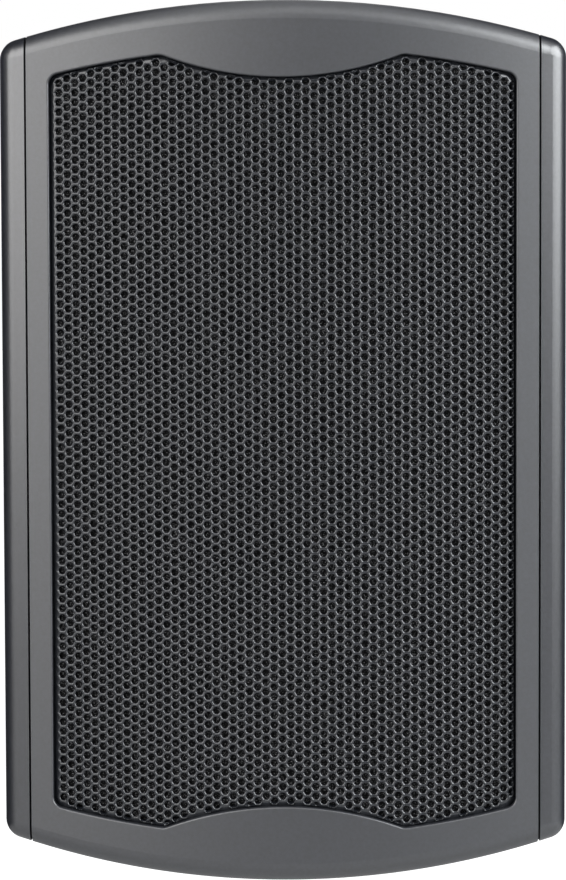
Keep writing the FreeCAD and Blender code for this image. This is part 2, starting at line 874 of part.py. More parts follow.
def woofer_surround():
    """Rubber half roll between the cone's rim and the basket's flange."""
    t = surround_sheet
    a = surround_roll
    m = surround_middle
    back = lip_front + t
    inner_lip = m - a - surround_lip
    outer_lip = m + a + surround_lip
    return turned(0, woofer_centre, (inner_lip, back), (inner_lip, lip_front), (m - a, lip_front),
                  ((m, lip_front - a), (m + a, lip_front)), (outer_lip, lip_front), (outer_lip, back),
                  (m + a - t, back), (m + a - t, lip_front),
                  ((m, lip_front - a + t), (m - a + t, lip_front)), (m - a + t, back))


def woofer_front_ring():
    """Trim ring that clamps the surround's outer lip on the flange."""
    inner = surround_middle + surround_roll + front_ring_clearance
    lip = surround_middle + surround_roll + surround_lip + fit
    made = turned(0, woofer_centre, (inner, lip_front), (inner, baffle_front), (woofer_radius, baffle_front),
                  (woofer_radius, flange_front), (lip, flange_front), (lip, lip_front))
    shanks = holes(woofer_screw_points(), screw_radius, baffle_front, flange_front)
    heads = holes(woofer_screw_points(), screw_head_radius, baffle_front, baffle_front + screw_sink)
    return cut_all(made, shanks + heads)


def woofer_screws():
    head = baffle_front + screw_sink
    length = woofer_floor + driver_screw_length - screw_hole_spare - head
    return Part.makeCompound(screws(woofer_screw_points(), head, length))


def cone_face(back_by):
    """Rim, bend and neck of the cone's front face, or of a face further back in its sheet."""
    outward = cone_back_share * back_by
    bend_radius = former_outer + cone_bend_radius_share * (cone_rim - former_outer)
    bend_depth = flange_front + cone_bend_depth_share * (cone_neck_depth - flange_front)
    rim = (cone_rim - surround_lip + outward, flange_front + back_by)
    bend = (bend_radius + outward, bend_depth + back_by)
    neck = (former_outer, cone_neck_depth + back_by)
    return rim, bend, neck


def woofer_cone():
    """Curved paper cone from the surround's inner lip down to the voice coil's former."""
    rim, bend, neck = cone_face(0)
    back_rim, back_bend, back_neck = cone_face(cone_sheet)
    return turned(0, woofer_centre, (cone_rim, flange_front), (cone_rim, flange_front + cone_sheet), back_rim,
                  (back_bend, back_neck), neck, (bend, rim))


def cone_front(radius):
    """Depth of the cone's front face at a radius, from the circle through its three points."""
    rim, bend, neck = [V(r, d, 0) for r, d in cone_face(0)]
    circle = Part.Arc(rim, bend, neck).toShape().Curve
    offset = radius - circle.Center.x
    lift = math.sqrt(circle.Radius ** 2 - offset ** 2)
    return circle.Center.y + math.copysign(lift, bend.y - circle.Center.y)


def woofer_dust_cap():
    """Domed cap glued on the cone."""
    rim = cone_front(cap_radius) - cap_sheet
    return dome(woofer_centre, cap_radius, rim, cap_height, cap_sheet)


def coil_former():
    end = winding_front + winding_length
    return ring(former_outer, coil_radius, cone_neck_depth, end, 0, woofer_centre)


def coil_winding():
    return ring(winding_outer, former_outer, winding_front, winding_front + winding_length, 0, woofer_centre)


def woofer_spider():
    """Corrugated disc that centres the coil former."""
    inner = former_outer
    outer = basket_neck_radius - 2 * basket_sheet
    flat = spider_step_radius
    steps = 4 * spider_waves
    middle = spider_front - spider_sheet - spider_wave_height
    front = []
    for i in range(steps + 1):
        r = inner + (flat - inner) * i / steps
        swing = spider_wave_height * math.cos(2 * math.pi * spider_waves * i / steps)
        front.append((r, middle + swing))
    front.append((outer, front[-1][1]))
    back = [(r, d + spider_sheet) for r, d in reversed(front)]
    return turned(0, woofer_centre, *front, *back)


def woofer_top_plate():
    return ring(top_plate_radius, winding_outer + magnet_gap, top_plate_front, magnet_front, 0, woofer_centre)


def woofer_magnet():
    return ring(magnet_radius, magnet_bore_radius, magnet_front, back_plate_front, 0, woofer_centre)


def woofer_yoke():
    """Back plate and pole in one turned piece."""
    pole = coil_radius - magnet_gap
    back = back_plate_front + back_plate_thickness
    return turned(0, woofer_centre, (0, top_plate_front), (pole, top_plate_front), (pole, back_plate_front),
                  (back_plate_radius, back_plate_front), (back_plate_radius, back), (0, back))


# Tweeter

tweeter_floor = baffle_front + tweeter_seat_depth
plate_back = tweeter_floor - driver_gasket
plate_rear_boss = baffle_front + throat_depth + plate_thickness
tweeter_former_outer = dome_radius + tweeter_coil_wall
throat_radius = tweeter_former_outer + magnet_gap
dome_base = baffle_front + throat_depth + plate_thickness / 2
tweeter_plate_front = plate_rear_boss
tweeter_magnet_front = tweeter_plate_front + tweeter_plate_thickness
tweeter_yoke_front = tweeter_magnet_front + tweeter_magnet_thickness


def tweeter_faceplate():
    """Round plate with a shallow horn that runs in to the dome."""
    throat = baffle_front + throat_depth
    boss = tweeter_magnet_radius
    clamp = throat_radius + dome_clamp
    lip = plate_rear_boss - 2 * dome_sheet
    mouth = throat_radius + dome_clamp / 2
    bend = (clamp + horn_bend_radius_share * (horn_radius - clamp),
            baffle_front + horn_bend_depth_share * throat_depth)
    made = turned(0, tweeter_centre, (tweeter_radius, baffle_front), (tweeter_radius, plate_back),
                  (boss, plate_back), (boss, plate_rear_boss), (clamp + fit, plate_rear_boss),
                  (clamp + fit, lip), (mouth, lip), (mouth, throat), (bend, (horn_radius, baffle_front)))
    shanks = holes(tweeter_screw_points(), small_screw_radius, baffle_front, plate_back)
    heads = holes(tweeter_screw_points(), small_head_radius, baffle_front, baffle_front + small_screw_sink)
    return cut_all(made, shanks + heads)


def tweeter_gasket():
    made = ring(tweeter_radius, tweeter_cutout_radius, plate_back, tweeter_floor, 0, tweeter_centre)
    return cut_all(made, holes(tweeter_screw_points(), small_screw_radius, plate_back, tweeter_floor))


def tweeter_screws():
    head = baffle_front + small_screw_sink
    length = tweeter_floor + driver_screw_length - screw_hole_spare - head
    return Part.makeCompound(small_screws(tweeter_screw_points(), head, length))


def tweeter_dome():
    """Soft dome whose rim sits on its coil."""
    return dome(tweeter_centre, dome_radius, dome_base, dome_height, dome_sheet)


def tweeter_coil():
    return ring(tweeter_former_outer, dome_radius, dome_base, dome_base + tweeter_coil_length,
                0, tweeter_centre)


def tweeter_surround():
    """Small half roll round the dome, clamped between the faceplate and the top plate."""
    t = dome_sheet
    start = tweeter_former_outer
    roll = (throat_radius + dome_clamp / 2 - start) / 2
    middle = start + roll
    flat = plate_rear_boss - t
    edge = throat_radius + dome_clamp
    foot = start + 2 * roll
    return turned(0, tweeter_centre, (start, flat), ((middle, flat - roll), (foot, flat)), (edge, flat),
                  (edge, flat + t), (foot - t, flat + t), (foot - t, flat),
                  ((middle, flat - roll + t), (start + t, flat)))


def tweeter_top_plate():
    return ring(tweeter_magnet_radius, throat_radius, tweeter_plate_front, tweeter_magnet_front,
                0, tweeter_centre)


def tweeter_magnet():
    bore = throat_radius + 2 * magnet_gap
    return ring(tweeter_magnet_radius, bore, tweeter_magnet_front, tweeter_yoke_front, 0, tweeter_centre)


def tweeter_yoke():
    pole = dome_radius - magnet_gap
    back = tweeter_yoke_front + tweeter_plate_thickness
    edge = tweeter_magnet_radius - tweeter_yoke_inset
    return turned(0, tweeter_centre, (0, tweeter_plate_front), (pole, tweeter_plate_front),
                  (pole, tweeter_yoke_front), (edge, tweeter_yoke_front), (edge, back), (0, back))


# Ports, crossover and damping

def port_tube(side):
    outer = port_radius + port_wall
    edge = outer + port_flange
    seat = baffle_front + port_flange_thickness
    end = baffle_front + port_length
    m = port_mouth_radius
    bend = m * (1 - math.sqrt(0.5))
    return turned(side * port_x, port_z, (port_radius + m, baffle_front), (edge, baffle_front), (edge, seat),
                  (outer, seat), (outer, end), (port_radius, end), (port_radius, baffle_front + m),
                  ((port_radius + bend, baffle_front + bend), (port_radius + m, baffle_front)))


board_back = back_inside - board_post_height
board_front = board_back - board_thickness


def crossover_board():
    half_height = board_height / 2
    board = box(-board_width / 2, board_width / 2, board_front, board_back,
                mount_rise - half_height, mount_rise + half_height)
    return cut_all(board, holes(board_points(), small_screw_radius, board_front, board_back))


def board_screws():
    return Part.makeCompound(small_screws(board_points(), board_front, board_post_height))


def coil_places():
    """Height and winding radius of the two crossover coils, one at each end of the board."""
    return [(mount_rise + coil_offset, large_winding_radius),
            (mount_rise - coil_offset, small_winding_radius)]


def coil_bobbins():
    hub = bobbin_bore_radius + bobbin_wall
    front = board_front - winding_height - 2 * bobbin_wall
    made = []
    for z, radius in coil_places():
        edge = radius + bobbin_wall
        made.append(turned(0, z, (bobbin_bore_radius, front), (edge, front), (edge, front + bobbin_wall),
                           (hub, front + bobbin_wall), (hub, board_front - bobbin_wall),
                           (edge, board_front - bobbin_wall), (edge, board_front),
                           (bobbin_bore_radius, board_front)))
    return Part.makeCompound(made)


def coil_windings():
    hub = bobbin_bore_radius + bobbin_wall + fit
    front = board_front - winding_height - bobbin_wall
    return Part.makeCompound([ring(radius, hub, front, board_front - bobbin_wall, 0, z)
                              for z, radius in coil_places()])


def capacitors():
    """Two film capacitors that lie on the board, one each side of its middle."""
    made = []
    d = board_front - capacitor_radius - fit
    for side in signs:
        x = side * (board_width / 2 - capacitor_radius - board_margin)
        z = mount_rise - capacitor_length / 2
        can = Part.makeCylinder(capacitor_radius, capacitor_length, V(x, y_at(d), z), V(0, 0, 1))
        made.append(can.makeFillet(capacitor_edge_radius, [e for e in can.Edges if e.Closed]))
    return Part.makeCompound(made)


def resistor():
    z = mount_rise - board_height / 2 + board_margin
    return box(-resistor_length / 2, resistor_length / 2, board_front - resistor_side, board_front,
               z, z + resistor_side)


def damping_pad(side):
    """Felt slab along the inside of one tapered side wall."""
    front = collar_depth + pad_front
    back = depth - pad_rear
    slope = (width - rear_width) / 2 / (depth - collar_depth)

    def inside_x(d):
        share = (d - collar_depth) / (back_inside - collar_depth)
        front_x = width / 2 - wall
        return front_x + (rear_width / 2 - wall - front_x) * share

    gap = soft_gap * math.hypot(1, slope)
    thick = pad_thickness * math.hypot(1, slope)
    plan = [(inside_x(front) - gap, front), (inside_x(back) - gap, back),
            (inside_x(back) - gap - thick, back), (inside_x(front) - gap - thick, front)]
    points = [V(side * x, y_at(d), pad_bottom) for x, d in plan]
    return Part.Face(Part.makePolygon(points + points[:1])).extrude(V(0, 0, pad_top - pad_bottom))


# Every piece, by the name of its file

def pieces():
    body = collar()
    return {
        "front_housing": front_housing(body),
        "front_bezel": front_bezel(body),
        "grille": grille(),
        "grille_foam": grille_foam(),
        "bezel_grommets": grommets(),
        "rear_shell": rear_shell(),
        "housing_gasket": housing_gasket(),
        "housing_screws": housing_screws(),
        "bracket_inserts": inserts(),
        "terminal_cup": terminal_cup(),
        "terminal_gasket": terminal_gasket(),
        "terminal_lever_red": terminal_lever(1),
        "terminal_lever_black": terminal_lever(-1),
        "terminal_contacts": terminal_contacts(),
        "terminal_screws": terminal_screws(),
        "woofer_gasket": woofer_gasket(),
        "woofer_basket": woofer_basket(),
        "woofer_surround": woofer_surround(),
        "woofer_front_ring": woofer_front_ring(),
        "woofer_screws": woofer_screws(),
        "woofer_cone": woofer_cone(),
        "woofer_dust_cap": woofer_dust_cap(),
        "woofer_coil_former": coil_former(),
        "woofer_coil_winding": coil_winding(),
        "woofer_spider": woofer_spider(),
        "woofer_top_plate": woofer_top_plate(),
        "woofer_magnet": woofer_magnet(),
        "woofer_yoke": woofer_yoke(),
        "tweeter_faceplate": tweeter_faceplate(),
        "tweeter_gasket": tweeter_gasket(),
        "tweeter_screws": tweeter_screws(),
        "tweeter_dome": tweeter_dome(),
        "tweeter_coil": tweeter_coil(),
        "tweeter_surround": tweeter_surround(),
        "tweeter_top_plate": tweeter_top_plate(),
        "tweeter_magnet": tweeter_magnet(),
        "tweeter_yoke": tweeter_yoke(),
        "port_tube_left": port_tube(-1),
        "port_tube_right": port_tube(1),
        "crossover_board": crossover_board(),
        "crossover_screws": board_screws(),
        "crossover_coil_bobbins": coil_bobbins(),
        "crossover_coil_windings": coil_windings(),
        "crossover_capacitors": capacitors(),
        "crossover_resistor": resistor(),
        "damping_pad_left": damping_pad(-1),
        "damping_pad_right": damping_pad(1),
    }


def export_all():
    os.makedirs("parts", exist_ok=True)
    for name, shape in pieces().items():
        solids = []
        for solid in shape.Solids:
            if solid.Volume < 0:
                solid.reverse()
            solids.append(solid.translated(V(0, 0, -mount_rise)))
        whole = solids[0] if len(solids) == 1 else Part.makeCompound(solids)
        whole.exportStep(f"parts/{name}.step")
        print(f"{name}: {len(solids)} solid(s), {whole.Volume / 1000:.2f} cm3, valid {whole.isValid()}")


export_all()
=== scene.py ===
"""A wall speaker in a plain studio, seen from the front.

Lengths are metres in the part's own frame: the front faces -Y and +Z is up.
"""
import json
import math

import bmesh
import bpy
import numpy as np
from mathutils import Matrix, Vector


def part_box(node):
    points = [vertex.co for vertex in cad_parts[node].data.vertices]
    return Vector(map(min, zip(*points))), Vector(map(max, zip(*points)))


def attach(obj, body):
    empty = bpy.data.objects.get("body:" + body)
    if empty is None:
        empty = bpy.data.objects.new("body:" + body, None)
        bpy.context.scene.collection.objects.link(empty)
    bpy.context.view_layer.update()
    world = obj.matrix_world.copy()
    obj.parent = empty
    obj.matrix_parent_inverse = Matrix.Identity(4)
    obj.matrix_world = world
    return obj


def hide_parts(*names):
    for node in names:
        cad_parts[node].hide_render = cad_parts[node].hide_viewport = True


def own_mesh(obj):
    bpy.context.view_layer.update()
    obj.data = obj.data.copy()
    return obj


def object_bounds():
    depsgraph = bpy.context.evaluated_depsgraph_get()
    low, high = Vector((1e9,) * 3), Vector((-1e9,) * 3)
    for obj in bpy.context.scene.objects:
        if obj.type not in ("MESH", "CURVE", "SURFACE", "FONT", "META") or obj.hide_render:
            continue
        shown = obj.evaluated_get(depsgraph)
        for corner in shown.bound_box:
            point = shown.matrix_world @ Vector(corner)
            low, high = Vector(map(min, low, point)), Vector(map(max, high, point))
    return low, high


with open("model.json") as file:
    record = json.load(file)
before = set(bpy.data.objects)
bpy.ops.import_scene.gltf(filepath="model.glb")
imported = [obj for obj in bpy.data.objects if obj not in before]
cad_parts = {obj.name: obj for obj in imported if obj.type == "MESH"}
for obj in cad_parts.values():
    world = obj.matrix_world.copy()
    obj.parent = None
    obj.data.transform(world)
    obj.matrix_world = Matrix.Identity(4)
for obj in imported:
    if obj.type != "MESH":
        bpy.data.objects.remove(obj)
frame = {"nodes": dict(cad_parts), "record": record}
cad_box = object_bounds()
mm = 0.001

# The picture's camera: where the crown of the front lies in it, and how large it is there
image_width = 566
image_height = 880
crown_pixel_x = 282.6
crown_pixel_y = 444.4
pixels_per_metre = 2758.0
camera_distance = 1.216
camera_turn = math.radians(1.296)
camera_rise = math.radians(3.60)
camera_roll = math.radians(0.184)
sensor_size = 36.0

# The bowed front and its opening, as the part has them
bow_radius = 395.0 * mm
opening_crown_band = 17.2 * mm
opening_waist_band = 28.0 * mm
opening_crown_radius = 379.0 * mm
opening_waist_radius = 120.5 * mm
opening_corner_radius = 4.0 * mm
bezel_wall = 3.0 * mm
grille_recess = 1.4 * mm
grille_sheet = 1.0 * mm
grille_flange = 1.6 * mm
grille_gap = 0.4 * mm
grille_roll = 1.4 * mm
soft_gap = 0.3 * mm
foam_thickness = 4.0 * mm

# The grille's fine holes
hole_pitch = 3.491 * mm
hole_radius = 1.33 * mm
hole_shift_x = -0.42 * mm
hole_shift_z = 0.22 * mm
hole_back_radius = 1.62 * mm
hole_lip = 0.25 * mm
hole_rim = 0.3 * mm
hole_lean = math.radians(50)
hole_foot_lean = math.radians(110)
hole_sides = 10
hole_back_sides = 5
hexagon_sides = 6

# The foam's surface
foam_columns = 130
foam_rows = 216
foam_roughness = 0.5 * mm

# The woofer's spider, a corrugated cloth disc, built in its rest shape
spider_waves = 4
spider_wave_steps = 8
spider_wave_height = 2.2 * mm
spider_sheet = 0.5 * mm
spider_land = 5.5 * mm
spider_clearance = 0.05 * mm
spider_sides = 96

# How points are moved across the opening's edge, how near points of a mesh become one, and how long
# a given normal is at least
edge_probe = 0.01 * mm
edge_rounds = 4
least_steepness = 0.25
weld_distance = 0.002 * mm
least_normal = 0.5

# The studio: how the floor glows in reflections and to the camera, and the light of the backdrop
floor_drop = 0.35
floor_size = 30.0
floor_glow_mirrored = 0.05
floor_glow_seen = 0.95
fill_strength = 0.1
fill_colour = (0.95, 0.97, 1.0, 1.0)
white_strength = 1.0
white_colour = (1.0, 1.0, 1.0, 1.0)

bezel_low, bezel_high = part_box("front_bezel")
front_y = bezel_low.y
middle_z = (bezel_low.z + bezel_high.z) / 2
half_height = (bezel_high.z - bezel_low.z) / 2
half_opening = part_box("grille")[1].x - grille_flange
opening_crown = half_height - opening_crown_band
opening_waist = half_height - opening_waist_band
bow_axis_y = front_y + bow_radius
face_radius = bow_radius - grille_recess
slots = {part["node"]: part["material_slot"] for part in frame["record"]["subparts"]}
rng = np.random.default_rng(5)


# Shapes

def opening_inset(x, z):
    """How far inside the edge of the bezel's opening a point lies, seen from the front."""
    up = np.abs(z)
    side = half_opening - np.abs(x)
    crown = opening_crown_radius - np.hypot(x, up - (opening_crown - opening_crown_radius))
    waist = np.hypot(x, up - (opening_waist + opening_waist_radius)) - opening_waist_radius
    end = np.minimum(crown, waist)
    corner = opening_corner_radius - np.hypot(opening_corner_radius - side, opening_corner_radius - end)
    in_corner = (side < opening_corner_radius) & (end < opening_corner_radius)
    return np.where(in_corner, corner, np.minimum(side, end))


def moved_across(flat, wanted):
    """Moves points straight across the opening's edge by what they lack of the wanted inset."""
    for _ in range(edge_rounds):
        x, z = flat[:, 0], flat[:, 1]
        lack = wanted(opening_inset(x, z))
        rise_x = opening_inset(x + edge_probe, z) - opening_inset(x - edge_probe, z)
        rise_z = opening_inset(x, z + edge_probe) - opening_inset(x, z - edge_probe)
        slope_x = rise_x / (2 * edge_probe)
        slope_z = rise_z / (2 * edge_probe)
        steep = np.maximum(slope_x ** 2 + slope_z ** 2, least_steepness)
        flat = flat + np.stack((slope_x, slope_z), axis=1) * (lack / steep)[:, None]
    return flat


def kept_in(flat, least):
    """Moves points inwards where their inset is less than the least one."""
    return moved_across(flat, lambda inset: np.maximum(least - inset, 0))


def set_to(flat, inset_wanted):
    """Moves points until all have the same inset."""
    return moved_across(flat, lambda inset: inset_wanted - inset)


def roll_depth(flat):
    """How far the grille's rolled edge has curved back at each point."""
    inset = opening_inset(flat[:, 0], flat[:, 1])
    near = 1 - np.clip((inset - grille_gap) / grille_roll, 0, 1)
    return grille_roll * (1 - np.sqrt(1 - near ** 2))


def on_bow(flat, depth):
    """Points in space for points of the front view, at depths behind the grille's bowed face."""
    turn = np.arcsin(flat[:, 0] / face_radius)
    radius = face_radius - depth
    x = radius * np.sin(turn)
    y = bow_axis_y - radius * np.cos(turn)
    return np.stack((x, y, flat[:, 1] + middle_z), axis=1)


def leaning(flat, middles, lean):
    """Normals that lean from the front towards the middles of the holes."""
    turn = np.arcsin(flat[:, 0] / face_radius)
    level = np.zeros(len(flat))
    front = np.stack((np.sin(turn), -np.cos(turn), level), axis=1)
    across = np.stack((np.cos(turn), np.sin(turn), level), axis=1)
    way = middles - flat
    way /= np.linalg.norm(way, axis=1)[:, None]
    inward = across * way[:, :1] + way[:, 1:] * (0, 0, 1)
    return front * math.cos(lean) + inward * math.sin(lean)


def ring_corners(count):
    """The corners of a regular polygon with a radius of one."""
    angles = 2 * math.pi * np.arange(count) / count
    return np.stack((np.cos(angles), np.sin(angles)), axis=1)


def zipped(first, second):
    """Triangles of the strip between two rings of corners that start at the same angle."""
    made = []
    i = j = 0
    n, m = len(first), len(second)
    while i < n or j < m:
        if j == m or (i < n and (i + 1) / n <= (j + 1) / m):
            made.append((first[i], first[(i + 1) % n], second[j % m]))
            i += 1
        else:
            made.append((first[i % n], second[(j + 1) % m], second[j]))
            j += 1
    return np.array(made)


def new_object(name, points, faces, normals=None):
    """A smooth mesh. Normals that are given and aren't zero stand in place of the mesh's own."""
    mesh = bpy.data.meshes.new(name)
    mesh.from_pydata([tuple(p) for p in points], [], [tuple(int(i) for i in f) for f in faces])
    if normals is not None:
        given = mesh.attributes.new("given_normal", "FLOAT_VECTOR", "POINT")
        given.data.foreach_set("vector", normals.ravel())
    work = bmesh.new()
    work.from_mesh(mesh)
    bmesh.ops.remove_doubles(work, verts=work.verts, dist=weld_distance)
    work.to_mesh(mesh)
    work.free()
    for polygon in mesh.polygons:
        polygon.use_smooth = True
    if normals is not None:
        chosen = [Vector(item.vector) for item in mesh.attributes["given_normal"].data]
        for n, own in enumerate(mesh.vertex_normals):
            if chosen[n].length < least_normal:
                chosen[n] = own.vector.copy()
        mesh.attributes.remove(mesh.attributes["given_normal"])
        mesh.normals_split_custom_set_from_vertices(chosen)
    made = bpy.data.objects.new(name, mesh)
    bpy.context.scene.collection.objects.link(made)
    return made


def hexagon_cells():
    """Hexagonal cells whose holes lie in the opening: their middles and corners, along the bow and
    upwards, and whole numbers that cells give to the corners they share."""
    column = hole_pitch * math.sqrt(3) / 2
    columns = int(half_opening / column) + 2
    rows = int(opening_crown / hole_pitch) + 2
    i, j = np.meshgrid(np.arange(-columns, columns + 1), np.arange(-rows, rows + 1), indexing="ij")
    along = hole_shift_x + column * i
    up = hole_shift_z + hole_pitch * (j + 0.5 * (i % 2))
    middles = np.stack((along.ravel(), up.ravel()), axis=1)
    corners = middles[:, None] + hole_pitch / math.sqrt(3) * ring_corners(hexagon_sides)
    steps = (corners - (hole_shift_x, hole_shift_z)) / (column / 3, hole_pitch / 2)
    seen = flattened(middles)
    reaches = opening_inset(seen[:, 0], seen[:, 1]) > grille_gap + hole_rim
    return middles[reaches], corners[reaches], np.round(steps[reaches]).astype(int)


def flattened(points):
    """Lengths along the bow as widths in the front view."""
    shape = points.shape
    points = points.reshape(-1, 2).copy()
    points[:, 0] = face_radius * np.sin(points[:, 0] / face_radius)
    return points.reshape(shape)


def perforated_grille():
    """The bowed steel sheet with its round holes, its rolled edge and the flange behind the bezel."""
    middles, corners, keys = hexagon_cells()
    _, kept, shared = np.unique(keys.reshape(-1, 2), axis=0, return_index=True, return_inverse=True)
    shared = shared.reshape(-1, hexagon_sides)
    webs = flattened(corners.reshape(-1, 2)[kept])
    front = kept_in(webs, grille_gap)
    back = kept_in(webs, grille_gap + grille_sheet)

    ring = middles[:, None] + hole_radius * ring_corners(hole_sides)
    ring = kept_in(flattened(ring).reshape(-1, 2), grille_gap + hole_rim)
    foot = middles[:, None] + hole_back_radius * ring_corners(hole_back_sides)
    foot = kept_in(flattened(foot).reshape(-1, 2), grille_gap + grille_sheet + hole_rim)

    parts = [
        on_bow(front, roll_depth(front)),
        on_bow(back, roll_depth(back) + grille_sheet),
        on_bow(ring, roll_depth(ring) + hole_lip),
        on_bow(foot, roll_depth(foot) + grille_sheet),
    ]
    starts = np.cumsum([0] + [len(p) for p in parts])
    normals = [
        np.zeros((starts[2], 3)),
        leaning(ring, np.repeat(flattened(middles), hole_sides, axis=0), hole_lean),
        leaning(foot, np.repeat(flattened(middles), hole_back_sides, axis=0), hole_foot_lean),
    ]
    holes = np.arange(len(middles))[:, None]
    local = np.concatenate((
        shared,
        shared + starts[1],
        starts[2] + holes * hole_sides + np.arange(hole_sides),
        starts[3] + holes * hole_back_sides + np.arange(hole_back_sides),
    ), axis=1)
    at = np.split(np.arange(local.shape[1]), np.cumsum([hexagon_sides, hexagon_sides, hole_sides]))
    strips = np.concatenate((zipped(at[0], at[2]), zipped(at[2], at[3]), zipped(at[3], at[1])))
    faces = list(local[:, strips].reshape(-1, 3))

    edges = np.stack((shared, np.roll(shared, -1, axis=1)), axis=2).reshape(-1, 2)
    paired = {(a, b) for a, b in edges.tolist()}
    rim = [(a, b) for a, b in edges.tolist() if (b, a) not in paired]
    used = sorted({i for edge in rim for i in edge})
    place = {index: n for n, index in enumerate(used)}
    flange_front = bezel_wall - grille_recess
    flange_back = flange_front + grille_sheet
    levels = [
        (grille_gap, flange_front),
        (-grille_flange, flange_front),
        (-grille_flange, flange_back),
        (grille_gap + grille_sheet, flange_back),
    ]
    total = starts[4]
    rings = [used]
    for inset, depth in levels:
        flat = set_to(front[used], inset)
        parts.append(on_bow(flat, np.full(len(used), depth)))
        normals.append(np.zeros((len(used), 3)))
        rings.append(list(range(total, total + len(used))))
        total += len(used)
    rings.append([i + starts[1] for i in used])
    for upper, lower in zip(rings, rings[1:]):
        for a, b in rim:
            faces.append((upper[place[b]], upper[place[a]], lower[place[a]], lower[place[b]]))
    return new_object("perforated_grille", np.concatenate(parts), faces, np.concatenate(normals))


def foam_sheet():
    """Open-cell foam behind the grille: a bowed pad with a rough front."""
    inset = grille_gap + grille_sheet + soft_gap
    u = np.linspace(-1, 1, foam_columns + 1)
    v = np.linspace(-1, 1, foam_rows + 1)
    x = u * (half_opening - inset)
    crown = opening_crown - opening_crown_radius + np.sqrt((opening_crown_radius - inset) ** 2 - x ** 2)
    waist = opening_waist + opening_waist_radius - np.sqrt((opening_waist_radius + inset) ** 2 - x ** 2)
    end = np.minimum(crown, waist)
    flat = np.stack(np.broadcast_arrays(x[:, None], v * end[:, None]), axis=2).reshape(-1, 2)
    front = grille_sheet + soft_gap + rng.random(len(flat)) * foam_roughness
    back = np.full(len(flat), grille_sheet + soft_gap + foam_thickness)
    points = np.concatenate((on_bow(flat, front), on_bow(flat, back)))
    index = np.arange(len(flat)).reshape(foam_columns + 1, foam_rows + 1)
    quads = np.stack((index[:-1, :-1], index[1:, :-1], index[1:, 1:], index[:-1, 1:]), axis=2)
    quads = quads.reshape(-1, 4)
    faces = list(quads) + list(quads[:, ::-1] + len(flat))
    rim = np.concatenate((index[:-1, 0], index[-1, :-1], index[:0:-1, -1], index[0, :0:-1]))
    for a, b in zip(rim, np.roll(rim, -1)):
        faces.append((b, a, a + len(flat), b + len(flat)))
    return new_object("foam_sheet", points, faces)


def corrugated_spider():
    """The disc that centres the coil former: rings of waves, and a land on the basket's step."""
    low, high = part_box("woofer_spider")
    former_low, former_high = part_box("woofer_coil_former")
    inner = (former_high.x - former_low.x) / 2 + spider_clearance
    outer = (high.x - low.x) / 2
    share = np.linspace(0, 1, spider_waves * spider_wave_steps + 1)
    radii = np.append(inner + (outer - spider_land - inner) * share, outer)
    waves = spider_wave_height * (1 - np.cos(2 * math.pi * spider_waves * share)) / 2
    front = high.y - spider_sheet - np.append(waves, 0)
    radii = np.concatenate((radii, radii[::-1]))
    depths = np.concatenate((front, front[::-1] + spider_sheet))
    spokes = ring_corners(spider_sides)
    points = np.empty((spider_sides, len(radii), 3))
    points[..., 0] = (low.x + high.x) / 2 + spokes[:, :1] * radii
    points[..., 1] = depths
    points[..., 2] = (low.z + high.z) / 2 + spokes[:, 1:] * radii
    index = np.arange(spider_sides * len(radii)).reshape(spider_sides, len(radii))
    onward = np.roll(index, -1, axis=1)
    quads = np.stack((index, onward, np.roll(onward, -1, axis=0), np.roll(index, -1, axis=0)), axis=2)
    return new_object("corrugated_spider", points.reshape(-1, 3), quads.reshape(-1, 4))


# Materials

def tone(red, green, blue):
    """A colour given as it looks on a screen, from 0 to 255, as the light that it sends back."""
    def linear(level):
        share = level / 255
        return share / 12.92 if share <= 0.04045 else ((share + 0.055) / 1.055) ** 2.4
    return linear(red), linear(green), linear(blue), 1.0


